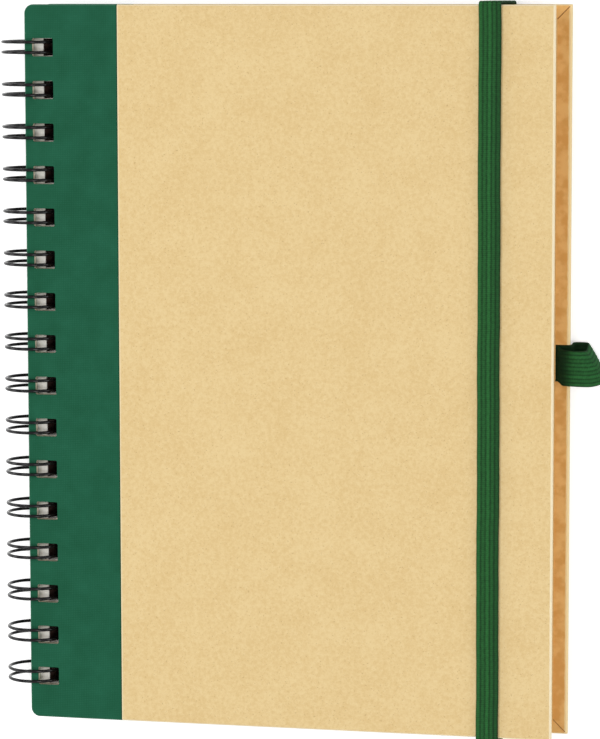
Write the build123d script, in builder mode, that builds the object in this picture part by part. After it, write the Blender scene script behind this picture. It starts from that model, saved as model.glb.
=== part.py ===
from build123d import *
import math
import os

# A twin-loop wire-bound A5 notebook with hard covers. It lies on its back cover:
# +Z points out of the front cover, +Y to the head, +X from the spine to the fore edge.
# All sizes in millimetres.

# ---------------------------------------------------------------- driving sizes
cover_height = 216.0        # both covers, head to tail
cover_width = 160.0         # front cover, spine edge to fore edge
back_extra_width = 1.1      # the back cover is this much wider
board_thickness = 1.8       # greyboard inside each cover
paper_thickness = 0.2       # covering paper, spine strip and lining alike
spine_corner_radius = 2.7   # rounded corners beside the wire
fore_corner_radius = 1.2    # the two other corners are nearly square
rim_radius = 0.6            # soft edge where the paper turns round the board
strip_width = 28.8          # coloured strip along the spine side
turn_in = 15.0              # paper folded over to the inside of the board
lining_margin = 4.2         # turned-in paper left showing round the lining
mitre_gap = 0.3             # open line between two turn-ins at a corner
back_shift = 2.2            # the back cover lies this much further from the spine

page_thickness = 7.6        # the whole block of sheets
page_fore_inset = 4.8       # the sheets stop this far inside the front cover's fore edge
page_end_inset = 3.0        # and this far inside both covers at head and tail
page_spine_margin = 3.0     # paper between a sheet's edge and its holes

wire_diameter = 0.95
ring_pitch = 12.7           # two loops to the inch
loop_spacing = 3.1          # between the two wires of one loop
ring_reach = 5.5            # ring centre to the wire where it leaves the covers
base_bend = 1.0             # bend from the base run into a loop
seam_gap = 0.5              # loop tips stop short of the base run
wire_end = 0.8              # straight wire past the first and last bends
spine_margin = 2.45         # cover left between its spine edge and a hole
wire_play = 0.4             # back cover's hole edge to the wire
hole_play = 1.1             # wire to the far end of a hole
page_hole_play = 1.7        # wire to the near end of a sheet's hole
side_play = 0.675           # wire to the head and tail sides of a hole
hole_corner_radius = 0.5

strap_width = 6.6
strap_thickness = 1.0
strap_from_fore = 19.0      # strap's middle to the front cover's fore edge
strap_slot_inset = 18.0     # slot to the head or tail edge of the back cover
strap_tail = 15.0           # glued end inside the back cover
strap_bend_radius = 0.8     # outside of the bends round the covers
edge_gap = 0.1              # strap to the covers' head and tail edges
slot_play = 0.3             # all round the strap in its slot and recess

loop_width = 10.5           # pen loop's ribbon, along the fore edge
loop_thickness = 0.9
loop_reach = 10.4           # past the back cover's fore edge
loop_height = 8.0           # outside the ribbon, front to back
loop_edge_gap = 0.3         # cover's edge to the loop's round part
loop_above_middle = 3.0     # the loop's middle lies this much nearer the head
loop_tail = 13.0            # glued end under the lining
loop_tail_thickness = 1.2   # both ends of the ribbon pressed together
loop_play = 0.2             # all round the glued end

# ---------------------------------------------------------------- derived sizes
back_width = cover_width + back_extra_width
cover_thickness = board_thickness + 3 * paper_thickness
stack = page_thickness + 2 * cover_thickness
page_height = cover_height - 2 * page_end_inset
ring_count = int(page_height / ring_pitch)
wire_radius = wire_diameter / 2
ring_radius = math.hypot(ring_reach, stack / 2)

# Places along X are measured first from the front cover's spine edge.
wire_at_cover = back_shift + spine_margin + wire_radius + wire_play
ring_from_spine = wire_at_cover - ring_reach
wire_at_pages = ring_from_spine + math.sqrt(ring_radius**2 - (page_thickness / 2) ** 2)
hole_length = wire_at_pages + wire_radius + hole_play - spine_margin
hole_width = loop_spacing + wire_diameter + 2 * side_play
page_hole_start = wire_at_pages - wire_radius - page_hole_play
page_hole_length = ring_from_spine + ring_radius + wire_radius + hole_play - page_hole_start
page_start = page_hole_start - page_spine_margin
page_width = cover_width - page_fore_inset - page_start

# The frame's origin is under the middle of the whole notebook, wire and pen loop included.
left_end = ring_from_spine - ring_radius - wire_radius
right_end = back_shift + back_width + loop_reach
spine_x = -(left_end + right_end) / 2
ring_x = spine_x + ring_from_spine
ring_z = ring_radius + wire_radius
back_x = spine_x + back_shift
back_face = ring_z - stack / 2
front_face = ring_z + stack / 2
back_inside = back_face + cover_thickness
front_inside = front_face - cover_thickness

# Each cover is drawn on its own inside face, spine edge at X = 0, with Z going outward.
front_plane = Plane(origin=(spine_x, 0, front_inside), x_dir=(1, 0, 0), z_dir=(0, 0, 1))
back_plane = Plane(origin=(back_x, 0, back_inside), x_dir=(1, 0, 0), z_dir=(0, 0, -1))
turn_in_level = paper_thickness
board_level = 2 * paper_thickness
wrap_level = board_level + board_thickness

# ---------------------------------------------------------------- shared steps
def cover_outline(plane, width, margin):
    """The outline of a cover of this width on this plane, drawn in by margin all round."""
    with BuildSketch(plane) as outline:
        with Locations((width / 2, 0)):
            Rectangle(width - 2 * margin, cover_height - 2 * margin)
        spine_corners = outline.vertices().group_by(Axis.X)[0]
        fore_corners = outline.vertices().group_by(Axis.X)[-1]
        fillet(spine_corners, spine_corner_radius - margin)
        fillet(fore_corners, fore_corner_radius - margin)
    return outline.sketch


def cover_slab(plane, width, level, thickness, margin):
    """A plain slab of a cover's outline, its rims softened to suit its margin."""
    extrude(cover_outline(plane.offset(level), width, margin), amount=thickness)
    fillet(faces().filter_by(Axis.Z).edges(), rim_radius - margin)


def rectangle_on(plane, x, width, height):
    """A plain rectangle on this plane, from x toward the fore edge and evenly about the middle."""
    with BuildSketch(plane) as shape:
        with Locations((x + width / 2, 0)):
            Rectangle(width, height)
    return shape.sketch


def cut_holes(plane, start, length):
    """The row of oblong holes for the wire, right through."""
    with BuildSketch(plane.offset(-stack)) as holes:
        with Locations((start + length / 2, 0)):
            with GridLocations(0, ring_pitch, 1, ring_count):
                RectangleRounded(length, hole_width, hole_corner_radius)
    extrude(holes.sketch, amount=2 * stack, mode=Mode.SUBTRACT)


def cut_strap_slots(plane):
    """Two slots that the strap passes through, one near the head and one near the tail."""
    with BuildSketch(plane) as slots:
        with Locations((cover_width - strap_from_fore, 0)):
            with GridLocations(0, cover_height - 2 * strap_slot_inset, 1, 2):
                Rectangle(strap_width + 2 * slot_play, strap_thickness + 2 * slot_play)
    extrude(slots.sketch, amount=cover_thickness, mode=Mode.SUBTRACT)


def cut_loop_bed(plane):
    """The bed for the pen loop's glued end, open at the fore edge."""
    length = loop_tail + loop_play
    with BuildSketch(plane.offset(turn_in_level)) as bed:
        # The back cover is drawn from behind, so Y on this plane runs to the tail.
        with Locations((back_width - length / 2, -loop_above_middle)):
            Rectangle(length, loop_width + 2 * loop_play)
    extrude(bed.sketch, amount=loop_tail_thickness, mode=Mode.SUBTRACT)


def cover_wrap(plane, width, blank):
    """Paper all over the outside of a board, turned in round its four edges and mitred."""
    cover_slab(plane, width, turn_in_level, board_thickness + 2 * paper_thickness, 0)
    add(blank, mode=Mode.SUBTRACT)
    window = rectangle_on(plane.offset(turn_in_level), turn_in, width - 2 * turn_in,
                          cover_height - 2 * turn_in)
    extrude(window, amount=paper_thickness, mode=Mode.SUBTRACT)
    with BuildSketch(plane.offset(turn_in_level)) as mitres:
        for x, side, slope in ((0, -1, 45), (0, 1, -45), (width, -1, -45), (width, 1, 45)):
            with Locations((x, side * cover_height / 2)):
                Rectangle(3 * turn_in, mitre_gap, rotation=slope)
    extrude(mitres.sketch, amount=paper_thickness, mode=Mode.SUBTRACT)
    cut_holes(plane, spine_margin, hole_length)


def cover_lining(plane, width):
    """The sheet glued over the turn-ins; its middle sinks onto the bare board."""
    sheet = rectangle_on(plane, lining_margin, width - 2 * lining_margin,
                         cover_height - 2 * lining_margin)
    extrude(sheet, amount=paper_thickness)
    sunk_width = width - 2 * turn_in
    sunk_height = cover_height - 2 * turn_in
    hollow = rectangle_on(plane, turn_in + paper_thickness, sunk_width - 2 * paper_thickness,
                          sunk_height - 2 * paper_thickness)
    extrude(hollow, amount=paper_thickness, mode=Mode.SUBTRACT)
    sunk = rectangle_on(plane.offset(paper_thickness), turn_in, sunk_width, sunk_height)
    extrude(sunk, amount=paper_thickness)
    cut_holes(plane, spine_margin, hole_length)


def save(piece, name):
    """Name a finished piece and write it."""
    piece.part.label = name
    export_step(piece.part, f"parts/{name}.step")


os.makedirs("parts", exist_ok=True)

# ---------------------------------------------------------------- front cover
with BuildPart() as front_blank:
    cover_slab(front_plane, cover_width, board_level, board_thickness, paper_thickness)

with BuildPart() as front_board:
    add(front_blank.part)
    cut_holes(front_plane, spine_margin, hole_length)
save(front_board, "front_board")

with BuildPart() as front_cover_paper:
    cover_wrap(front_plane, cover_width, front_blank.part)
    split(bisect_by=Plane.YZ.offset(spine_x + strip_width), keep=Keep.TOP)
save(front_cover_paper, "front_cover_paper")

with BuildPart() as front_spine_strip:
    cover_wrap(front_plane, cover_width, front_blank.part)
    split(bisect_by=Plane.YZ.offset(spine_x + strip_width), keep=Keep.BOTTOM)
save(front_spine_strip, "front_spine_strip")

with BuildPart() as front_lining:
    cover_lining(front_plane, cover_width)
save(front_lining, "front_lining")

# ---------------------------------------------------------------- back cover
with BuildPart() as back_blank:
    cover_slab(back_plane, back_width, board_level, board_thickness, paper_thickness)

with BuildPart() as back_board:
    add(back_blank.part)
    cut_holes(back_plane, spine_margin, hole_length)
    cut_strap_slots(back_plane)
    cut_loop_bed(back_plane)
    # Two beds for the strap's glued ends, running inward from the slots.
    with BuildSketch(back_plane.offset(board_level)):
        with Locations((cover_width - strap_from_fore, 0)):
            with GridLocations(0, cover_height - 2 * strap_slot_inset - strap_tail, 1, 2):
                Rectangle(strap_width + 2 * slot_play, strap_tail + 2 * slot_play)
    extrude(amount=strap_thickness, mode=Mode.SUBTRACT)
save(back_board, "back_board")

with BuildPart() as back_cover_paper:
    cover_wrap(back_plane, back_width, back_blank.part)
    cut_strap_slots(back_plane)
    cut_loop_bed(back_plane)
    split(bisect_by=Plane.YZ.offset(back_x + strip_width), keep=Keep.TOP)
save(back_cover_paper, "back_cover_paper")

with BuildPart() as back_spine_strip:
    cover_wrap(back_plane, back_width, back_blank.part)
    split(bisect_by=Plane.YZ.offset(back_x + strip_width), keep=Keep.BOTTOM)
save(back_spine_strip, "back_spine_strip")

with BuildPart() as back_lining:
    cover_lining(back_plane, back_width)
save(back_lining, "back_lining")

# ---------------------------------------------------------------- pages
with BuildPart() as page_block:
    with BuildSketch(Plane.XY.offset(back_inside)):
        with Locations((spine_x + page_start + page_width / 2, 0)):
            Rectangle(page_width, page_height)
    extrude(amount=page_thickness)
    cut_holes(Plane(origin=(spine_x, 0, ring_z)), page_hole_start, page_hole_length)
save(page_block, "page_block")

# ---------------------------------------------------------------- wire binding
# One wire from end to end. From the base run under the spine it goes once round as a ring,
# turns back at a tip, goes round again beside itself and rejoins the base run.
base_angle = 270.0
tip_run = loop_spacing / 2 + wire_diameter + seam_gap + base_bend
tip_angle = base_angle + 360 - math.degrees(tip_run / ring_radius)


def on_ring(angle, y, along=0.0):
    """A point on a ring at this angle, or a distance along the tangent from there."""
    turn = math.radians(angle)
    x = ring_x + ring_radius * math.cos(turn) - along * math.sin(turn)
    z = ring_z + ring_radius * math.sin(turn) + along * math.cos(turn)
    return (x, y, z)


def ring_arc(y, start, end):
    """Once round the ring at this height, from one angle to another."""
    ThreePointArc(on_ring(start, y), on_ring((start + end) / 2, y), on_ring(end, y))


def base_corner(y, side):
    """The bend between a ring and the base run; side is -1 before the loop, +1 after it."""
    height = ring_z - ring_radius
    share = math.sqrt(0.5)
    on_loop = (ring_x, y, height)
    halfway = (ring_x - share * base_bend, y + side * (1 - share) * base_bend, height)
    on_run = (ring_x - base_bend, y + side * base_bend, height)
    return on_loop, halfway, on_run


with BuildPart() as wire_binding:
    with BuildLine() as wire_path:
        first = -(ring_count - 1) / 2 * ring_pitch
        previous = on_ring(base_angle, first - loop_spacing / 2 - base_bend - wire_end, -base_bend)
        for ring in range(ring_count):
            middle = first + ring * ring_pitch
            near = middle - loop_spacing / 2
            far = middle + loop_spacing / 2
            on_loop, halfway, on_run = base_corner(near, -1)
            Line(previous, on_run)
            ThreePointArc(on_run, halfway, on_loop)
            ring_arc(near, base_angle, tip_angle)
            ThreePointArc(on_ring(tip_angle, near), on_ring(tip_angle, middle, loop_spacing / 2),
                          on_ring(tip_angle, far))
            ring_arc(far, tip_angle, base_angle)
            on_loop, halfway, on_run = base_corner(far, 1)
            ThreePointArc(on_loop, halfway, on_run)
            previous = on_run
        Line(previous, on_ring(base_angle, far + base_bend + wire_end, -base_bend))
    with BuildSketch(Plane(origin=wire_path.line @ 0, z_dir=wire_path.line % 0)):
        Circle(wire_radius)
    sweep()
save(wire_binding, "wire_binding")

# ---------------------------------------------------------------- elastic strap
# It lies along the front cover, goes round the head and tail edges, slants with the shifted
# back cover, and enters the back cover through its two slots.
strap_front_x = spine_x + cover_width - strap_from_fore
strap_back_x = strap_front_x + back_shift
strap_edge = cover_height / 2 + edge_gap
slot_y = cover_height / 2 - strap_slot_inset
half_width = strap_width / 2
tail_top = back_inside - board_level

with BuildPart() as elastic_strap:
    with BuildSketch(Plane.XY.offset(front_face)):
        with Locations((strap_front_x, 0)):
            Rectangle(strap_width, 2 * (strap_edge + strap_thickness))
    extrude(amount=strap_thickness)
    for side in (-1, 1):
        # round the edge of the covers
        with BuildSketch(Plane.XZ.offset(-side * strap_edge)):
            with BuildLine():
                Polyline(
                    (strap_front_x - half_width, front_face + strap_thickness),
                    (strap_front_x + half_width, front_face + strap_thickness),
                    (strap_front_x + half_width, front_face),
                    (strap_back_x + half_width, back_face),
                    (strap_back_x + half_width, back_face - strap_thickness),
                    (strap_back_x - half_width, back_face - strap_thickness),
                    (strap_back_x - half_width, back_face),
                    (strap_front_x - half_width, front_face),
                    close=True,
                )
            make_face()
        extrude(amount=-side * strap_thickness)
        # under the back cover to its slot
        stub_outer = strap_edge + strap_thickness
        stub_inner = slot_y - strap_thickness / 2
        with BuildSketch(Plane.XY.offset(back_face - strap_thickness)):
            with Locations((strap_back_x, side * (stub_outer + stub_inner) / 2)):
                Rectangle(strap_width, stub_outer - stub_inner)
        extrude(amount=strap_thickness)
        # up through the slot
        with BuildSketch(Plane.XY.offset(back_face)):
            with Locations((strap_back_x, side * slot_y)):
                Rectangle(strap_width, strap_thickness)
        extrude(amount=tail_top - back_face)
        # the glued end in its bed
        with BuildSketch(Plane.XY.offset(tail_top - strap_thickness)):
            with Locations((strap_back_x, side * (slot_y - strap_tail / 2))):
                Rectangle(strap_width, strap_tail)
        extrude(amount=strap_thickness)
    front_bends = edges().filter_by(Axis.X).group_by(Axis.Z)[-1]
    back_bends = edges().filter_by(Axis.X).group_by(Axis.Z)[0]
    fillet(front_bends + back_bends, strap_bend_radius)
save(elastic_strap, "elastic_strap")

# ---------------------------------------------------------------- pen loop
# A ribbon bent to an oval round a pen; both its ends lie together under the back lining.
fore_x = back_x + back_width
loop_z = back_inside - turn_in_level - loop_tail_thickness / 2
oval_length = loop_reach - loop_edge_gap
oval_x = fore_x + loop_edge_gap + oval_length / 2

with BuildPart() as pen_loop:
    with BuildSketch(Plane.XZ.offset(-loop_above_middle - loop_width / 2)):
        with Locations((oval_x, loop_z)):
            Ellipse(oval_length / 2, loop_height / 2)
        with Locations((fore_x + loop_edge_gap + loop_thickness / 2 - loop_tail / 2, loop_z)):
            Rectangle(loop_tail, loop_tail_thickness)
        with Locations((oval_x, loop_z)):
            Ellipse(oval_length / 2 - loop_thickness, loop_height / 2 - loop_thickness,
                    mode=Mode.SUBTRACT)
    extrude(amount=loop_width)
save(pen_loop, "pen_loop")

print("notebook over all, spine to pen loop:", round(right_end - left_end, 2))
print("ring radius", round(ring_radius, 3), "rings", ring_count, "page start", round(page_start, 3))
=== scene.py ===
# %% [markdown]
# # A wire-bound notebook with kraft covers
#
# The notebook arrives as exact solids: two covers, each a greyboard wrapped in paper, a block
# of sheets, one long wire bent to sixteen twin loops, an elastic strap and a pen loop. This
# lesson gives each of them its finish, and builds the three soft or layered pieces again as
# finer meshes: the strap, the pen loop and the sheets.
#
# The notebook lies on its back cover. +Z comes out of the front cover, +Y runs to the head of
# the page, +X runs from the wire to the fore edge. Everything is in metres.

# %% Load the exact parts
import bmesh
import bpy
import math
import random
from mathutils import Matrix, Vector


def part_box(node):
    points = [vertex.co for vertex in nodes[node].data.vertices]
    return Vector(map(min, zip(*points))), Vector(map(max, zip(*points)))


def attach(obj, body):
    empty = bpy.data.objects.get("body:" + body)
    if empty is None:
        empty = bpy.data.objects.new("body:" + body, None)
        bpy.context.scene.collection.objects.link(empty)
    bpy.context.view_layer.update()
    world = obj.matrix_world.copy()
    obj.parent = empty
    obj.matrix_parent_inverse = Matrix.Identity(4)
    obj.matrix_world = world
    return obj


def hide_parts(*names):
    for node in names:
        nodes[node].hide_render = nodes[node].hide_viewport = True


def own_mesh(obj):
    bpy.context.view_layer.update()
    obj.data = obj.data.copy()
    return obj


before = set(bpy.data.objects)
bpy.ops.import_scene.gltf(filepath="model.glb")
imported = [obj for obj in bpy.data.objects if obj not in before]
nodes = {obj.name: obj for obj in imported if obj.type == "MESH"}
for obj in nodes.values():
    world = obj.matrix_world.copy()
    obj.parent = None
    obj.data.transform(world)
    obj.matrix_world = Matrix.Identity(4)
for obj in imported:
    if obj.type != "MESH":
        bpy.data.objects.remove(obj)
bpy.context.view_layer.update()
mm = 0.001
print("pieces in the frame:", sorted(nodes))

# %% [markdown]
# ## Where things are
#
# Each place comes from the box of a piece, so nothing is measured twice. A cover's edges are the
# edges of its wrapping paper, because the paper goes round the board.

# %% Read the edges of the covers
front_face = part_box("front_cover_paper")[1].z
front_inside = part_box("front_lining")[0].z
back_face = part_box("back_cover_paper")[0].z
back_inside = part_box("back_lining")[1].z
spine_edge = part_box("front_spine_strip")[0].x
fore_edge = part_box("front_cover_paper")[1].x
back_fore_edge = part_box("back_cover_paper")[1].x
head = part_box("front_cover_paper")[1].y
print("front cover, mm:", round((fore_edge - spine_edge) / mm, 1), "by", round(2 * head / mm, 1))

# %% [markdown]
# ## The camera
#
# A catalogue picture of a flat thing is taken from far away with a long lens, so that the
# edges stay nearly parallel. Here the camera is about a metre above the cover, a little
# beyond the fore edge and near the head, and it looks back down to the left. That is why the
# back cover shows along the fore edge, and the loops show their far side low on the spine.

# %% Place the camera
camera_data = bpy.data.cameras.new("camera")
lens_length = 170.5
sensor_width = 36
camera_data.lens = lens_length
camera_data.sensor_width = sensor_width
camera = bpy.data.objects.new("camera", camera_data)
bpy.context.scene.collection.objects.link(camera)
bpy.context.scene.camera = camera

camera_place = Vector((spine_edge + 0.3158, -head + 0.2267, front_face + 1.0034))
swing = math.radians(12.99)
tip = math.radians(-6.55)
roll = math.radians(-0.1)
turn = Matrix.Rotation(swing, 4, "Y") @ Matrix.Rotation(tip, 4, "X") @ Matrix.Rotation(roll, 4, "Z")
camera.matrix_world = Matrix.Translation(camera_place) @ turn
camera_data.clip_start = 0.05
print("camera stands", [round(v, 3) for v in camera_place])

# %% [markdown]
# ## Light and floor
#
# The light is soft and comes from above. A large window lamp, a little to the upper left, lets
# the front cover shade the strip of back cover beside it. A smaller one on the right fills that
# shade. Two low cards, one on each side, draw the bright spots on the wire and the pale line
# along the fore edge. An even sky lifts the rest. The view transform is Standard, so that a
# colour comes out as it is written.
#
# The floor is white. To the camera part of it glows by itself, which keeps it white
# while the notebook's shadow still falls on the other part.

# %% Set the light level
scene = bpy.context.scene
scene.view_settings.view_transform = "Standard"


def add_lamp(name, towards, distance, size, power):
    """A square lamp that stands in this direction from the notebook and shines at its middle."""
    lamp_data = bpy.data.lights.new(name, "AREA")
    lamp_data.shape = "SQUARE"
    lamp_data.size = size
    lamp_data.energy = power
    lamp = bpy.data.objects.new(name, lamp_data)
    scene.collection.objects.link(lamp)
    direction = Vector(towards).normalized()
    lamp.location = direction * distance
    lamp.rotation_euler = direction.to_track_quat("Z", "Y").to_euler()


add_lamp("window", towards=(-0.46, 0.22, 0.95), distance=1.6, size=0.8, power=9.8)
add_lamp("ceiling", towards=(0.42, -0.25, 1.0), distance=1.7, size=0.5, power=8.0)
add_lamp("left card", towards=(-1.0, 0.1, 0.3), distance=1.3, size=0.5, power=4.2)
add_lamp("right card", towards=(1.0, -0.1, 0.35), distance=1.3, size=0.6, power=3.8)

sky_level = 0.27
seen_level = 1.0
world = bpy.data.worlds.new("sky")
scene.world = world
world.use_nodes = True
sky = world.node_tree
sky_light = sky.nodes["Background"]
sky_light.inputs["Color"].default_value = (1, 1, 1, 1)
sky_light.inputs["Strength"].default_value = sky_level
sky_seen = sky.nodes.new("ShaderNodeBackground")
sky_seen.inputs["Color"].default_value = (1, 1, 1, 1)
sky_seen.inputs["Strength"].default_value = seen_level


def camera_like_ray(tree):
    """1 for what the camera sees straight or through gloss and glass, 0 for light that bounces."""
    path = tree.nodes.new("ShaderNodeLightPath")
    seen = path.outputs["Is Camera Ray"]
    for name in ("Is Glossy Ray", "Is Transmission Ray"):
        either = tree.nodes.new("ShaderNodeMath")
        either.operation = "MAXIMUM"
        tree.links.new(seen, either.inputs[0])
        tree.links.new(path.outputs[name], either.inputs[1])
        seen = either.outputs[0]
    return seen


mix_sky = sky.nodes.new("ShaderNodeMixShader")
sky.links.new(camera_like_ray(sky), mix_sky.inputs["Fac"])
sky.links.new(sky_light.outputs[0], mix_sky.inputs[1])
sky.links.new(sky_seen.outputs[0], mix_sky.inputs[2])
sky.links.new(mix_sky.outputs[0], sky.nodes["World Output"].inputs["Surface"])

# %% Lay the floor
floor_drop = 0.2 * mm
floor_white = 0.8
floor_glow = 0.55
reach = 6.0
floor_mesh = bpy.data.meshes.new("floor")
corners = [(-reach, -reach, 0), (reach, -reach, 0), (reach, reach, 0), (-reach, reach, 0)]
floor_mesh.from_pydata(corners, [], [(0, 1, 2, 3)])
floor = bpy.data.objects.new("floor", floor_mesh)
scene.collection.objects.link(floor)
floor.location.z = -floor_drop

floor_paint = bpy.data.materials.new("white floor")
floor_paint.use_nodes = True
paint = floor_paint.node_tree
matte = paint.nodes["Principled BSDF"]
matte.inputs["Base Color"].default_value = (floor_white, floor_white, floor_white, 1)
matte.inputs["Roughness"].default_value = 0.9
matte.inputs["Specular IOR Level"].default_value = 0
glow = paint.nodes.new("ShaderNodeEmission")
glow.inputs["Color"].default_value = (1, 1, 1, 1)
glow.inputs["Strength"].default_value = floor_glow
both = paint.nodes.new("ShaderNodeAddShader")
paint.links.new(matte.outputs[0], both.inputs[0])
paint.links.new(glow.outputs[0], both.inputs[1])
choose = paint.nodes.new("ShaderNodeMixShader")
paint.links.new(camera_like_ray(paint), choose.inputs["Fac"])
paint.links.new(matte.outputs[0], choose.inputs[1])
paint.links.new(both.outputs[0], choose.inputs[2])
paint.links.new(choose.outputs[0], paint.nodes["Material Output"].inputs["Surface"])
floor_mesh.materials.append(floor_paint)
print("lamps and floor are in place")

# %% [markdown]
# ## Tools for making finishes
#
# Every finish below is made of the same few steps, so they become small helpers: start a
# material, put a pattern on it in millimetres, turn the pattern into a colour, and turn it into
# relief. The pattern follows each object's own coordinates, so it moves with the piece when a
# cover opens.

# %% Small helpers for node materials
def srgb(red, green, blue):
    """A colour picked as 0 to 255 screen values, as the linear numbers that shaders use."""
    def linear(value):
        share = value / 255
        return share / 12.92 if share <= 0.04045 else ((share + 0.055) / 1.055) ** 2.4
    return (linear(red), linear(green), linear(blue), 1)


class Finish:
    """A material under construction, with its tree of nodes close at hand."""

    def __init__(self, name, roughness, specular=0.5):
        self.material = bpy.data.materials.new(name)
        self.material.use_nodes = True
        self.tree = self.material.node_tree
        self.shader = self.tree.nodes["Principled BSDF"]
        self.shader.inputs["Roughness"].default_value = roughness
        self.shader.inputs["Specular IOR Level"].default_value = specular
        self.coordinates = self.tree.nodes.new("ShaderNodeTexCoord")

    def join(self, source, target):
        """Joins an output to an input, or sets the input where source is a plain value."""
        if isinstance(source, bpy.types.NodeSocket):
            self.tree.links.new(source, target)
        else:
            target.default_value = source

    def place(self, scale=(1, 1, 1), turn=0.0):
        """Object coordinates in millimetres, stretched by scale and turned about Z."""
        mapping = self.tree.nodes.new("ShaderNodeMapping")
        mapping.vector_type = "TEXTURE"
        mapping.inputs["Rotation"].default_value = (0, 0, math.radians(turn))
        mapping.inputs["Scale"].default_value = [side * mm for side in scale]
        self.tree.links.new(self.coordinates.outputs["Object"], mapping.inputs["Vector"])
        return mapping.outputs["Vector"]

    def cloud(self, size, detail=2.0, roughness=0.5, stretch=(1, 1, 1), turn=0.0):
        """Soft noise from 0 to 1 whose lumps are about size millimetres across."""
        noise = self.tree.nodes.new("ShaderNodeTexNoise")
        noise.inputs["Scale"].default_value = 1.0
        noise.inputs["Detail"].default_value = detail
        noise.inputs["Roughness"].default_value = roughness
        where = self.place([size * side for side in stretch], turn)
        self.tree.links.new(where, noise.inputs["Vector"])
        return noise.outputs["Fac"]

    def sum(self, operation, first, second=0.0, clamp=False):
        """One step of arithmetic on patterns."""
        step = self.tree.nodes.new("ShaderNodeMath")
        step.operation = operation
        step.use_clamp = clamp
        self.join(first, step.inputs[0])
        self.join(second, step.inputs[1])
        return step.outputs[0]

    def level(self, pattern, low, high, to_low=0.0, to_high=1.0):
        """Stretches the part of a pattern between low and high to a new range."""
        step = self.tree.nodes.new("ShaderNodeMapRange")
        step.interpolation_type = "SMOOTHSTEP"
        self.join(pattern, step.inputs["Value"])
        limits = {"From Min": low, "From Max": high, "To Min": to_low, "To Max": to_high}
        for name, value in limits.items():
            step.inputs[name].default_value = value
        return step.outputs["Result"]

    def mix(self, share, first, second):
        """Mixes two colours by a pattern."""
        step = self.tree.nodes.new("ShaderNodeMix")
        step.data_type = "RGBA"
        self.join(share, step.inputs[0])
        self.join(first, step.inputs[6])
        self.join(second, step.inputs[7])
        return step.outputs[2]

    def part_of(self, output, axis):
        """One axis of a coordinate output."""
        split = self.tree.nodes.new("ShaderNodeSeparateXYZ")
        self.tree.links.new(self.coordinates.outputs[output], split.inputs[0])
        return split.outputs[axis]

    def position(self, axis):
        """Where a point is along an axis, in metres."""
        return self.part_of("Object", axis)

    def facing(self, axis):
        """How far the surface faces along an axis, from -1 to 1."""
        return self.part_of("Normal", axis)

    def stored(self, name):
        """A number that a mesh keeps at each of its points."""
        attribute = self.tree.nodes.new("ShaderNodeAttribute")
        attribute.attribute_name = name
        return attribute.outputs["Fac"]

    def rim(self):
        """1 on a rounded rim, 0 on flat faces and on upright walls, from the surface's slope."""
        up = self.sum("MULTIPLY", self.facing("Z"), self.facing("Z"))
        aside = self.sum("SUBTRACT", 1.0, up)
        return self.sum("MULTIPLY", self.sum("MULTIPLY", up, aside), 4.0, clamp=True)

    def colour(self, source):
        """Uses a tone as the finish's colour."""
        self.join(source, self.shader.inputs["Base Color"])

    def relief(self, height, depth):
        """Fine relief, depth in millimetres between a pattern's 0 and 1."""
        bump = self.tree.nodes.new("ShaderNodeBump")
        bump.inputs["Strength"].default_value = 1.0
        bump.inputs["Distance"].default_value = depth * mm
        self.tree.links.new(height, bump.inputs["Height"])
        self.tree.links.new(bump.outputs["Normal"], self.shader.inputs["Normal"])

    def put_on(self, *names):
        """Gives the finish to exact parts, in place of what they came with."""
        for name in names:
            nodes[name].data.materials.clear()
            nodes[name].data.materials.append(self.material)
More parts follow.
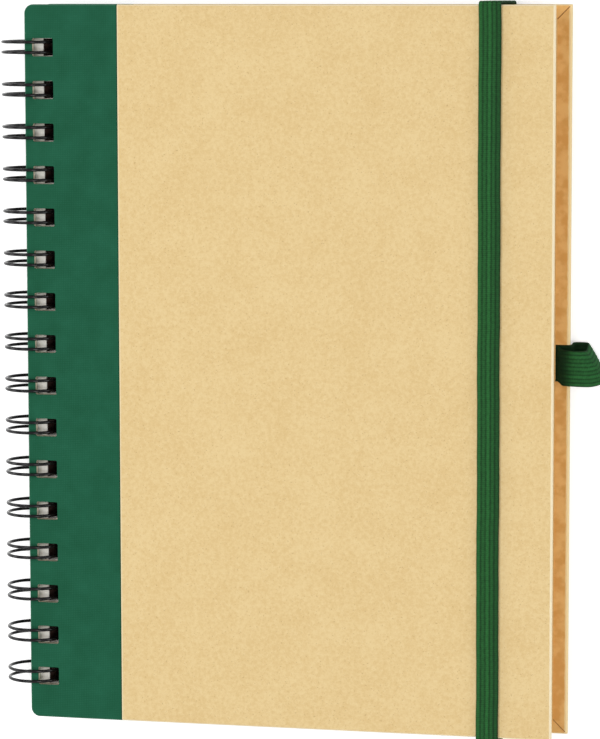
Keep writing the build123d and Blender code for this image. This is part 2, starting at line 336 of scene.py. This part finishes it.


# %% [markdown]
# ## Kraft paper
#
# Kraft paper is unbleached pulp. Three things make it look like itself: broad, faint clouds
# where the pulp lay thicker, a felt of short fibres in every direction, and a few darker specks
# of bark. An image of paper would do, but a pattern made of noise has no seams and can be
# looked at from any distance. Fibres are noise stretched to ten times its width, and three
# directions of it are enough for the eye to read a felt.
#
# The paper is palest where it bends over the board's edge: partly wear, partly a painted highlight
# where the rounded edge catches the light. Where it is turned in, it is warmer and darker: partly its
# own tone, partly painted warm shade between the covers.

# %% Mix the kraft finish
def kraft_finish(name, light, dark, fibre, pale_edge_and_highlight,
                 turn_in_tone_and_shade=None, inner_side=0, seam_x=None, rubbed_and_lit=None):
    """Unbleached paper: clouds, fibres and specks between a light and a dark tan.

    turn_in_tone_and_shade is the tone of the turned-in paper, which faces inner_side (+1 up, -1 down):
    partly its own tone, partly painted warm shade between the covers; seam_x is where a cut edge lies,
    pale along its rim; rubbed_and_lit is (x, width) of the pale line along the fore edge, partly wear
    and partly a painted highlight."""
    paper = Finish(name, roughness=0.75, specular=0.15)
    clouds = paper.cloud(size=14, detail=2)
    flecks = paper.cloud(size=1.1, detail=4, roughness=0.7)
    broad = paper.sum("MULTIPLY", clouds, 0.25)
    shade = paper.sum("ADD", broad, paper.sum("MULTIPLY", flecks, 0.75))
    tone = paper.mix(paper.level(shade, 0.34, 0.66), dark, light)
    height = flecks
    for turn in (12, 74, -48):
        strand = paper.cloud(size=0.22, detail=1, stretch=(10, 1, 4), turn=turn)
        tone = paper.mix(paper.level(strand, 0.60, 0.74, 0.0, 0.42), tone, fibre)
        height = paper.sum("ADD", height, strand)
    specks = paper.cloud(size=0.42, detail=0)
    tone = paper.mix(paper.level(specks, 0.74, 0.84, 0.0, 0.35), tone, srgb(168, 124, 72))
    # Painted warm shade: the turned-in paper facing inward gets a warmer, darker tone, partly its own
    # tone and partly the shade between the covers.
    if turn_in_tone_and_shade:
        inward = paper.sum("MULTIPLY", paper.facing("Z"), inner_side)
        turn_in_mottle = paper.level(paper.cloud(size=3.5, detail=4), 0.35, 0.65)
        turn_in_colour = paper.mix(turn_in_mottle, turn_in_tone_and_shade[0], turn_in_tone_and_shade[1])
        tone = paper.mix(paper.level(inward, 0.75, 0.98), tone, turn_in_colour)
    # Paler on the rounded rim: partly wear, partly a painted highlight.
    tone = paper.mix(paper.level(paper.rim(), 0.25, 0.9, 0.0, 0.85), tone, pale_edge_and_highlight)
    if seam_x is not None:
        beyond = paper.sum("SUBTRACT", paper.position("X"), seam_x)
        tone = paper.mix(paper.level(beyond, 0.20 * mm, 0.45 * mm, 0.5, 0.0), tone, pale_edge_and_highlight)
    # A pale ragged line along the fore edge: partly wear, partly a painted highlight.
    if rubbed_and_lit:
        inside = paper.sum("SUBTRACT", rubbed_and_lit[0], paper.position("X"))
        ragged = paper.sum("MULTIPLY", paper.cloud(size=2.2, detail=3), 0.5 * rubbed_and_lit[1])
        inside = paper.sum("ADD", inside, paper.sum("SUBTRACT", ragged, 0.25 * rubbed_and_lit[1]))
        rub_and_highlight = paper.level(inside, 0.75 * rubbed_and_lit[1], 1.1 * rubbed_and_lit[1], 0.9, 0.0)
        tone = paper.mix(rub_and_highlight, tone, pale_edge_and_highlight)
    paper.colour(tone)
    paper.relief(height, depth=0.012)
    return paper


kraft_tones = {
    "light": srgb(238, 211, 156),
    "dark": srgb(228, 197, 139),
    "fibre": srgb(242, 218, 168),
}
front_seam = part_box("front_spine_strip")[1].x
back_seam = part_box("back_spine_strip")[1].x
# Tones of the turned-in paper: its own tone and a painted warm shade.
turn_in_tones_with_shade = (srgb(228, 168, 92), srgb(244, 192, 118))
front_kraft = kraft_finish(
    "kraft paper",
    **kraft_tones,
    pale_edge_and_highlight=srgb(255, 240, 204),
    turn_in_tone_and_shade=turn_in_tones_with_shade,
    inner_side=-1,
    seam_x=front_seam,
    rubbed_and_lit=(fore_edge, 0.6 * mm),
)
front_kraft.put_on("front_cover_paper")
back_kraft = kraft_finish(
    "kraft paper back",
    **kraft_tones,
    pale_edge_and_highlight=srgb(255, 228, 172),
    turn_in_tone_and_shade=turn_in_tones_with_shade,
    inner_side=1,
    seam_x=back_seam,
    rubbed_and_lit=(back_fore_edge, 0.9 * mm),
)
back_kraft.put_on("back_cover_paper")

lining_paper = kraft_finish(
    "kraft lining",
    light=srgb(232, 188, 120),
    dark=srgb(219, 172, 104),
    fibre=srgb(238, 200, 138),
    pale_edge_and_highlight=srgb(240, 206, 150),
)
lining_paper.put_on("front_lining", "back_lining")
print("kraft finishes are on")

# %% [markdown]
# ## The green spine strip
#
# The strip along the spine is coloured paper pressed with a fine cloth grain, as binders use
# where a cover is punched. Two sets of fine lines at right angles make the grain. Real thread
# is never even, so noise pushes the lines about and fades them in places.

# %% Press the green paper
# at this scale the wave texture draws one line for each unit of length
one_line = 2 * math.pi / 20
grain_spacing = 0.55


def grain_lines(finish, direction, spacing):
    """Fine parallel lines, spacing in mm, shaken by noise so that they don't look ruled."""
    wave = finish.tree.nodes.new("ShaderNodeTexWave")
    wave.wave_type = "BANDS"
    wave.bands_direction = direction
    wave.inputs["Scale"].default_value = one_line
    wave.inputs["Distortion"].default_value = 0.6
    wave.inputs["Detail"].default_value = 2
    finish.tree.links.new(finish.place([spacing] * 3), wave.inputs["Vector"])
    return wave.outputs["Fac"]


def green_finish(name, seam_x):
    """Pressed green paper, with a thin dark line where it ends on the kraft paper at seam_x."""
    green = Finish(name, roughness=0.68, specular=0.12)
    crosswise = grain_lines(green, "X", grain_spacing)
    lengthwise = grain_lines(green, "Y", grain_spacing)
    grain = green.sum("MULTIPLY", crosswise, lengthwise)
    patches = green.sum("MULTIPLY", green.cloud(size=6, detail=3), 0.9)
    wear = green.sum("ADD", green.sum("MULTIPLY", grain, 0.5), patches)
    tone = green.mix(green.level(wear, 0.2, 1.1), srgb(20, 82, 56), srgb(32, 98, 72))
    lint = green.cloud(size=0.16, detail=1, stretch=(7, 1, 4), turn=35)
    tone = green.mix(green.level(lint, 0.68, 0.8, 0.0, 0.16), tone, srgb(74, 132, 106))
    worn_rim = green.level(green.rim(), 0.3, 0.9, 0.0, 0.5)
    tone = green.mix(worn_rim, tone, srgb(82, 134, 108))
    before_seam = green.sum("SUBTRACT", seam_x, green.position("X"))
    seam_line = green.level(before_seam, 0.22 * mm, 0.5 * mm, 0.6, 0.0)
    tone = green.mix(seam_line, tone, srgb(12, 52, 34))
    green.colour(tone)
    green.relief(grain, depth=0.03)
    return green


front_green = green_finish("green strip paper", front_seam)
front_green.put_on("front_spine_strip")
back_green = green_finish("green strip paper back", back_seam)
back_green.put_on("back_spine_strip")

# %% [markdown]
# ## Greyboard and sheets
#
# The board shows in the punched holes, where its cut edge is pale and furry, and as a thin line
# along each mitre, where glue has browned its face. The sheets are
# off-white uncoated paper. The walls of their holes get a dark painted shade, as little light gets in
# there, and the sheet mesh marks those walls with a number, 1 on a punched edge and 0 elsewhere. A
# second number gives each sheet a tone of its own, so that the stack's edges look like many sheets.

# %% Finish the board
board = Finish("greyboard", roughness=0.85, specular=0.2)
layers = board.cloud(size=0.25, detail=2, stretch=(8, 8, 1))
cut_edge = board.mix(layers, srgb(192, 182, 160), srgb(228, 220, 202))
board_up = board.sum("MULTIPLY", board.facing("Z"), board.facing("Z"))
glue_brown = srgb(176, 122, 66)
board.colour(board.mix(board.level(board_up, 0.8, 0.98), cut_edge, glue_brown))
board.relief(layers, depth=0.03)
board.put_on("front_board", "back_board")

# %% Finish the sheets
sheet_paper = Finish("white sheets", roughness=0.8, specular=0.2)
mottle = sheet_paper.cloud(size=0.5, detail=3)
own_tone = sheet_paper.sum("MULTIPLY", sheet_paper.stored("sheet_tone"), 0.6)
fine = sheet_paper.sum("ADD", sheet_paper.sum("MULTIPLY", mottle, 0.4), own_tone)
white = sheet_paper.mix(fine, srgb(236, 233, 224), srgb(251, 250, 246))
# Painted shade: the marked hole walls and bands take this dark brown, as little light gets in there.
painted_hole_shade = srgb(52, 34, 28)
sheet_paper.colour(sheet_paper.mix(sheet_paper.stored("punched"), white, painted_hole_shade))
sheet_paper.relief(mottle, depth=0.008)
sheet_paper.put_on("page_block")

# %% [markdown]
# ## The wire
#
# The wire is steel with a thin coat of black nylon. The coat is smooth and glossy, so almost
# all that is seen of it is the reflection of the lamps. A very low relief keeps those lines from
# looking like glass.

# %% Coat the wire
wire_coat = Finish("black coated wire", roughness=0.12, specular=0.22)
ripple = wire_coat.cloud(size=0.7, detail=1)
wire_coat.colour(wire_coat.mix(ripple, srgb(6, 6, 7), srgb(13, 12, 14)))
wire_coat.relief(ripple, depth=0.005)
wire_coat.put_on("wire_binding")
for polygon in nodes["wire_binding"].data.polygons:
    polygon.use_smooth = True

# %% [markdown]
# ## The sheets
#
# A solid block has no sheets to see at its edges, so the block is built again as separate thin
# sheets. Each has the same row of holes. No two sheets of a jogged stack end at the same
# place, so each one is pushed about by a tenth of a millimetre.
#
# The back cover lies a little further out than the front cover, and the stack leans with it.
# Because of that lean, no daylight comes up through the holes.
#
# A sheet is a grid of lines. Lines run along both sides of every hole, and the cells that are
# holes are left out. One more line makes a narrow band on the spine side of the holes, where a
# sheet peeps out under the ones above it and gets the same painted shade as the walls.

# %% Build the stack of sheets
holes_begin = 0.1 * mm
holes_end = 12 * mm
between_holes = 6 * mm
block_low, block_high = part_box("page_block")
rim_points = [v.co for v in nodes["page_block"].data.vertices
              if holes_begin < v.co.x - block_low.x < holes_end]
hole_left = min(point.x for point in rim_points)
hole_right = max(point.x for point in rim_points)
hole_rows = []
for height in sorted(point.y for point in rim_points):
    if hole_rows and height - hole_rows[-1][1] < between_holes:
        hole_rows[-1][1] = height
    else:
        hole_rows.append([height, height])
sheet_count = 75
pitch = (block_high.z - block_low.z) / sheet_count
paper_share = 0.86
air_below = 0.07
sheet_depth = pitch * paper_share
stack_lean = 1.4 * mm
shade_band_width = 0.4 * mm
uncovered_sheets = 3
print("holes in a sheet:", len(hole_rows), "sheet pitch, mm:", round(pitch / mm, 3))


def add_sheet(vertices, faces, walls, bottom, shift, covered):
    """One thin sheet with its holes, added to the lists. walls notes the points that get painted shade.

    A covered sheet lies under others, and so it gets painted shade in a band beside each hole."""
    xs = [block_low.x, hole_left - shade_band_width, hole_left, hole_right, block_high.x]
    xs = [x + shift.x for x in xs]
    ys = [block_low.y + shift.y]
    for low_row, high_row in hole_rows:
        ys += [low_row + shift.y, high_row + shift.y]
    ys.append(block_high.y + shift.y)
    top = bottom + sheet_depth

    def quad(points, punched=0.0):
        start = len(vertices)
        vertices.extend(points)
        walls.extend([punched] * 4)
        faces.append((start, start + 1, start + 2, start + 3))

    for row in range(len(ys) - 1):
        y0, y1 = ys[row], ys[row + 1]
        for column in range(4):
            x0, x1 = xs[column], xs[column + 1]
            if column == 2 and row % 2 == 1:
                quad([(x0, y0, bottom), (x0, y1, bottom), (x0, y1, top), (x0, y0, top)], 1.0)
                quad([(x1, y1, bottom), (x1, y0, bottom), (x1, y0, top), (x1, y1, top)], 1.0)
                quad([(x1, y0, bottom), (x0, y0, bottom), (x0, y0, top), (x1, y0, top)], 1.0)
                quad([(x0, y1, bottom), (x1, y1, bottom), (x1, y1, top), (x0, y1, top)], 1.0)
            else:
                # Painted shade on the band where a covered sheet peeps out beside a hole.
                in_shade_band = float(covered and column == 1 and row % 2 == 1)
                quad([(x0, y0, top), (x1, y0, top), (x1, y1, top), (x0, y1, top)], in_shade_band)
                quad([(x0, y1, bottom), (x1, y1, bottom), (x1, y0, bottom), (x0, y0, bottom)])
    x0, x1, y0, y1 = xs[0], xs[-1], ys[0], ys[-1]
    quad([(x0, y1, bottom), (x0, y0, bottom), (x0, y0, top), (x0, y1, top)])
    quad([(x1, y0, bottom), (x1, y1, bottom), (x1, y1, top), (x1, y0, top)])
    quad([(x0, y0, bottom), (x1, y0, bottom), (x1, y0, top), (x0, y0, top)])
    quad([(x1, y1, bottom), (x0, y1, bottom), (x0, y1, top), (x1, y1, top)])


vertices, faces, walls, tones = [], [], [], []
chance = random.Random(11)
for number in range(sheet_count):
    height = block_low.z + (number + air_below) * pitch
    lean_share = 1 - number / (sheet_count - 1)
    slip = Vector((chance.uniform(-0.12, 0.12) * mm, chance.uniform(-0.15, 0.15) * mm, 0))
    covered = number < sheet_count - uncovered_sheets
    shift = Vector((stack_lean * lean_share, 0, 0)) + slip
    add_sheet(vertices, faces, walls, height, shift, covered)
    tones += [chance.random()] * (len(vertices) - len(tones))
sheet_mesh = bpy.data.meshes.new("page_sheets")
sheet_mesh.from_pydata(vertices, [], faces)
punched = sheet_mesh.attributes.new("punched", "FLOAT", "POINT")
punched.data.foreach_set("value", walls)
sheet_tone = sheet_mesh.attributes.new("sheet_tone", "FLOAT", "POINT")
sheet_tone.data.foreach_set("value", tones)
sheet_mesh.materials.append(sheet_paper.material)
sheets = bpy.data.objects.new("page_sheets", sheet_mesh)
scene.collection.objects.link(sheets)
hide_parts("page_block")
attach(sheets, "pages")
print("sheets:", sheet_count, "faces:", len(faces))

# %% [markdown]
# ## Elastic ribbon
#
# Strap and pen loop are the same stuff: rubber cords side by side, wrapped and held
# together by green yarn. Each cord is a rib along the ribbon, and the yarn crosses the ribs in
# small slanted stitches. The ribs are wide enough to catch the light as shapes, so they are
# modelled. The stitches are colour and relief, and need to know how far along and across the
# ribbon they are. The mesh stores both numbers at each point, and a third: a tone that varies from
# rib to rib and also carries painted shade.
#
# A ribbon is a section carried along a route. The section is drawn once, flat: ribs on top,
# ribs below, a rounded edge at each side.

# %% Dye the elastic
def elastic_finish(name):
    """Green yarn over rubber cords: grooves darkened as painted shade, stitches that slant on each rib,
    and the stored tone, which also carries painted shade.
    """
    elastic = Finish(name, roughness=0.8, specular=0.2)
    rib = elastic.stored("rib")
    along = elastic.stored("along")
    slant = elastic.sum("MULTIPLY", rib, 2.4)
    stitch_turns = elastic.sum("ADD", elastic.sum("MULTIPLY", along, 11.0), slant)
    wave = elastic.sum("MULTIPLY", elastic.sum("SINE", stitch_turns), 0.5)
    stitch = elastic.sum("ADD", wave, 0.5)
    fuzz = elastic.sum("MULTIPLY", elastic.cloud(size=0.7, detail=3), 0.5)
    # Painted shade: the grooves (rib 0) come out darker than the rib tops.
    depth = elastic.sum("MULTIPLY", rib, 0.40)
    depth = elastic.sum("ADD", depth, elastic.sum("MULTIPLY", stitch, 0.2))
    depth = elastic.sum("ADD", depth, fuzz)
    # The stored tone scales everything: random rib tone, and painted shade where the ribbon lies in
    # shade.
    depth = elastic.sum("MULTIPLY", depth, elastic.stored("yarn_tone_and_shade"))
    tone = elastic.mix(elastic.level(depth, 0.15, 1.1), srgb(11, 44, 17), srgb(42, 108, 52))
    elastic.colour(tone)
    elastic.relief(stitch, depth=0.02)
    return elastic


elastic = elastic_finish("green elastic")

# %% Draw the ribbon's section
def ribbon_section(width, thickness, rib_tones_and_shade, steps=6, rib_height=0.16 * mm):
    """Points (across, out, rib, tone) round a flat ribbon, one rib for each tone in the list; a tone
    may also darken its rib as painted shade.

    rib is 1 on top of a rib and 0 in a groove. The first half of the points is the outer side."""
    half = width / 2
    points = []
    ribs = len(rib_tones_and_shade)
    count = ribs * steps
    for side in (1, -1):
        for step in range(count + 1):
            share = step / count
            across = -half + width * share
            rib = abs(math.sin(math.pi * ribs * share)) ** 0.7
            rise = thickness / 2 - rib_height * (1 - rib)
            edge_fall = max(0.0, abs(2 * share - 1) - 0.96) / 0.04
            rise *= math.sqrt(max(0.0, 1 - 0.75 * edge_fall ** 2))
            place = (share - 0.5) * side + 0.5
            yarn_tone_and_shade = rib_tones_and_shade[min(ribs - 1, int(place * ribs))]
            points.append((across * side, rise * side, rib, yarn_tone_and_shade))
    return points


def fillet_route(points, radius, steps=8):
    """Rounds the inner corners of a route of (a, b) points with arcs of a given radius."""
    made = [Vector(points[0])]
    for before, corner, after in zip(points, points[1:], points[2:]):
        before, corner, after = Vector(before), Vector(corner), Vector(after)
        back = (before - corner).normalized()
        on = (after - corner).normalized()
        angle = back.angle(on)
        cut = radius / math.tan(angle / 2)
        centre = corner + (back + on).normalized() * (radius / math.sin(angle / 2))
        first = corner + back * cut - centre
        last = corner + on * cut - centre
        bend = math.pi - angle
        for step in range(steps + 1):
            share = step / steps
            from_first = math.sin((1 - share) * bend)
            from_last = math.sin(share * bend)
            made.append(centre + (first * from_first + last * from_last) / math.sin(bend))
    made.append(Vector(points[-1]))
    return made


def resample(points, spacing):
    """Adds points on the long runs, so that no two neighbours are further apart than spacing."""
    made = [points[0]]
    for start, end in zip(points, points[1:]):
        pieces = max(1, math.ceil((end - start).length / spacing))
        for piece in range(1, pieces + 1):
            made.append(start.lerp(end, piece / pieces))
    return made


# %% Carry the section along a route
def ribbon_mesh(name, stations, section, finish):
    """A closed mesh through stations of (centre, across, out, distance); section as drawn above."""
    mesh = bpy.data.meshes.new(name)
    vertices = []
    stored = {"along": [], "rib": [], "yarn_tone_and_shade": []}
    for centre, across, out, distance in stations:
        for flat, rise, rib, yarn_tone_and_shade in section:
            vertices.append(centre + across * flat + out * rise)
            stored["along"].append(distance / mm)
            stored["rib"].append(rib)
            stored["yarn_tone_and_shade"].append(yarn_tone_and_shade)
    size = len(section)
    last = (len(stations) - 1) * size
    faces = []
    for row in range(len(stations) - 1):
        for column in range(size):
            beside = (column + 1) % size
            here, there = row * size, (row + 1) * size
            faces.append((here + column, here + beside, there + beside, there + column))
    half = size // 2
    for start in (0, last):
        for column in range(half - 1):
            opposite = size - 1 - column
            faces.append((start + column, start + column + 1, start + opposite - 1, start + opposite))
    mesh.from_pydata(vertices, [], faces)
    for label, values in stored.items():
        attribute = mesh.attributes.new(label, "FLOAT", "POINT")
        attribute.data.foreach_set("value", values)
    mesh.polygons.foreach_set("use_smooth", [True] * len(mesh.polygons))
    repair = bmesh.new()
    repair.from_mesh(mesh)
    bmesh.ops.recalc_face_normals(repair, faces=repair.faces)
    repair.to_mesh(mesh)
    repair.free()
    mesh.materials.append(finish.material)
    piece = bpy.data.objects.new(name, mesh)
    scene.collection.objects.link(piece)
    return piece


# %% [markdown]
# ## Lay the strap
#
# The strap starts in its bed inside the back cover, comes out through the slot near the head,
# goes round the head edge, lies along the front cover, and goes home the same way at the tail.
# Because the back cover lies a little further out, the strap leans over as it crosses each edge.
# Real elastic is never dead straight, so it wanders by up to a tenth of a millimetre.

# %% Build the strap
strap_low, strap_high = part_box("elastic_strap")
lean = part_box("back_spine_strip")[0].x - spine_edge
strap_width = strap_high.x - strap_low.x - lean
strap_thickness = back_face - strap_low.z
strap_front_x = strap_low.x + strap_width / 2
# Rib tones across the strap: random tone, and the rib on the right side made darker as painted shade.
strap_tones_and_shade = (1.0, 0.9, 1.08, 0.86, 0.72)
slot_inset = 18 * mm
bed_depth = 0.9 * mm
strap_bend = 0.6 * mm
slot_y = head - slot_inset
bed_z = back_inside - bed_depth
edge_y = strap_high.y - strap_thickness / 2
over_z = strap_high.z - strap_thickness / 2
under_z = strap_low.z + strap_thickness / 2
tail_length = 14 * mm

to_head = [
    (slot_y - tail_length, bed_z),
    (slot_y, bed_z),
    (slot_y, under_z),
    (edge_y, under_z),
    (edge_y, over_z),
]
to_tail = [(-y, z) for y, z in reversed(to_head)]
route = resample(fillet_route(to_head + to_tail, strap_bend), 0.8 * mm)
chance = random.Random(4)
sway_phase = [chance.uniform(0, math.tau) for _ in range(3)]


def strap_sway(distance):
    """A slow wander of the strap to either side, as it was pulled on by hand."""
    waves = zip((61 * mm, 27 * mm, 11 * mm), (0.05 * mm, 0.03 * mm, 0.02 * mm), sway_phase)
    return sum(size * math.sin(math.tau * distance / length + phase)
               for length, size, phase in waves)


stations = []
distance = 0.0
for index, point in enumerate(route):
    if index:
        distance += (point - route[index - 1]).length
    ahead = route[min(index + 1, len(route) - 1)] - route[max(index - 1, 0)]
    ahead.normalize()
    drop = min(1.0, max(0.0, (front_face - point.y) / (front_face - back_face)))
    sway = strap_sway(distance) if drop == 0 else 0.0
    centre = Vector((strap_front_x + lean * drop + sway, point.x, point.y))
    out = Vector((0, ahead.y, -ahead.x)) * -1
    stations.append((centre, Vector((1, 0, 0)), out, distance))
strap_section = ribbon_section(strap_width, strap_thickness, strap_tones_and_shade)
strap = ribbon_mesh("strap_band", stations, strap_section, elastic)
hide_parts("elastic_strap")
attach(strap, "back_cover")
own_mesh(strap)
print("strap, mm:", round(distance / mm), "long,", len(strap.data.polygons), "faces")

# %% [markdown]
# ## Bend the pen loop
#
# The pen loop is a wider piece of the same ribbon. Both its ends are glued under the lining,
# and the ribbon between them is pushed up into a flat oval beside the covers. It was glued a
# little askew, so its head side is pulled shorter than its tail side, and its lower layer has
# crept toward the head. Shade is painted into the yarn's tone: the inside of the loop is darker,
# and the upper layer darkens towards the covers, a painted shadow of the front cover.

# %% Build the pen loop
loop_low, loop_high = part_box("pen_loop")
loop_middle = (loop_low.y + loop_high.y) / 2
loop_width = loop_high.y - loop_low.y
loop_thickness = 0.9 * mm
lining_thickness = 0.2 * mm
pressed_half = 0.6 * mm
bed_middle = back_inside - lining_thickness - pressed_half
chance = random.Random(7)
loop_rib_tones = [chance.uniform(0.85, 1.15) for _ in range(9)]
layer_creep = 2.0 * mm
near_pull = 1.3 * mm
far_pull = 1.5 * mm
bed_play = 0.2 * mm
corner_lift = 1.0 * mm
pressed_share = 0.6
# Painted shade: how dark the loop's inner side, and the upper layer next to the covers, are made.
inside_shade = 0.4
covered_shade = 0.12
head_share = 0.53

# the route's halves as (distance past the cover's edge, height above the bed's middle) in mm
upper = [(-11.0, 0.28), (-4.2, 0.28), (-3.7, 0.5), (-3.0, 1.0), (-1.4, 1.95), (0.8, 2.85), (3.0, 3.42),
         (5.4, 3.52), (7.5, 3.3), (9.2, 2.5), (9.85, 1.2), (9.95, 0.0)]
lower = [(9.85, -1.2), (9.2, -2.5), (7.5, -3.3), (5.4, -3.52), (3.0, -3.42), (1.7, -2.8), (0.95, -1.75),
         (0.45, -0.85), (-0.5, -0.36), (-2.4, -0.28), (-11.0, -0.28)]


def smooth_route(points, spacing):
    """A smooth curve through points (Catmull-Rom), with stations about spacing apart."""
    points = [Vector(point) * mm for point in points]
    made = [points[0]]
    padded = [points[0]] + points + [points[-1]]
    for before, start, end, after in zip(padded, padded[1:], padded[2:], padded[3:]):
        pieces = max(1, math.ceil((end - start).length / spacing))
        for piece in range(1, pieces + 1):
            t = piece / pieces
            made.append(0.5 * (
                2 * start
                + (end - before) * t
                + (2 * before - 5 * start + 4 * end - after) * t ** 2
                + (3 * start - before - 3 * end + after) * t ** 3
            ))
    return made


loop_route = smooth_route(upper + lower, 0.35 * mm)
stations = []
distance = 0.0
for index, point in enumerate(loop_route):
    if index:
        distance += (point - loop_route[index - 1]).length
    ahead = loop_route[min(index + 1, len(loop_route) - 1)] - loop_route[max(index - 1, 0)]
    ahead.normalize()
    if point.y > 0:
        opened = (point.x + 4.0 * mm) / (3.0 * mm)
    else:
        opened = (point.x + 0.8 * mm) / (1.6 * mm)
    thickness_share = pressed_share + (1 - pressed_share) * min(1.0, max(0.0, opened))
    centre = Vector((back_fore_edge + point.x, loop_middle, bed_middle + point.y))
    out = Vector((-ahead.y, 0, ahead.x)) * thickness_share
    stations.append((centre, Vector((0, 1, 0)), out, distance))
loop_section = ribbon_section(loop_width, loop_thickness, loop_rib_tones, rib_height=0.11 * mm)
loop = ribbon_mesh("pen_ribbon", stations, loop_section, elastic)
loop_tone_and_shade = loop.data.attributes["yarn_tone_and_shade"].data
for index, vertex in enumerate(loop.data.vertices):
    place = vertex.co
    past = place.x - back_fore_edge
    # Painted shade: the inner side is darkened, and the upper layer fades dark towards the covers as a
    # painted shadow of the front cover.
    if index % len(loop_section) >= len(loop_section) // 2:
        loop_tone_and_shade[index].value *= inside_shade
    elif place.z > bed_middle:
        in_light = covered_shade + (past + 3.2 * mm) / (5.0 * mm)
        loop_tone_and_shade[index].value *= min(1.0, max(covered_shade, in_light))
    below = min(1.0, max(0.0, (bed_middle + 2 * mm - place.z) / (4 * mm)))
    if past > 0:
        toward_head = (place.y - (loop_middle - loop_width / 2)) / loop_width
        place.x = back_fore_edge + past * (1 - (1 - head_share) * toward_head ** 1.4)
        far_out = max(0.0, past / (9 * mm) - 0.6) ** 2 / 0.3
        place.y += corner_lift * (1 - toward_head) * far_out
    if place.z > bed_middle:
        ease = min(1.0, max(0.0, (past + 4.0 * mm) / (1.8 * mm)))
        place.y += (layer_creep * below - near_pull) * ease
    else:
        ease = min(1.0, max(0.0, past / (1.2 * mm)))
        place.y += bed_play + (layer_creep * below - far_pull) * ease
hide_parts("pen_loop")
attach(loop, "back_cover")
print("pen loop, mm:", round(distance / mm), "long,", len(loop.data.polygons), "faces")
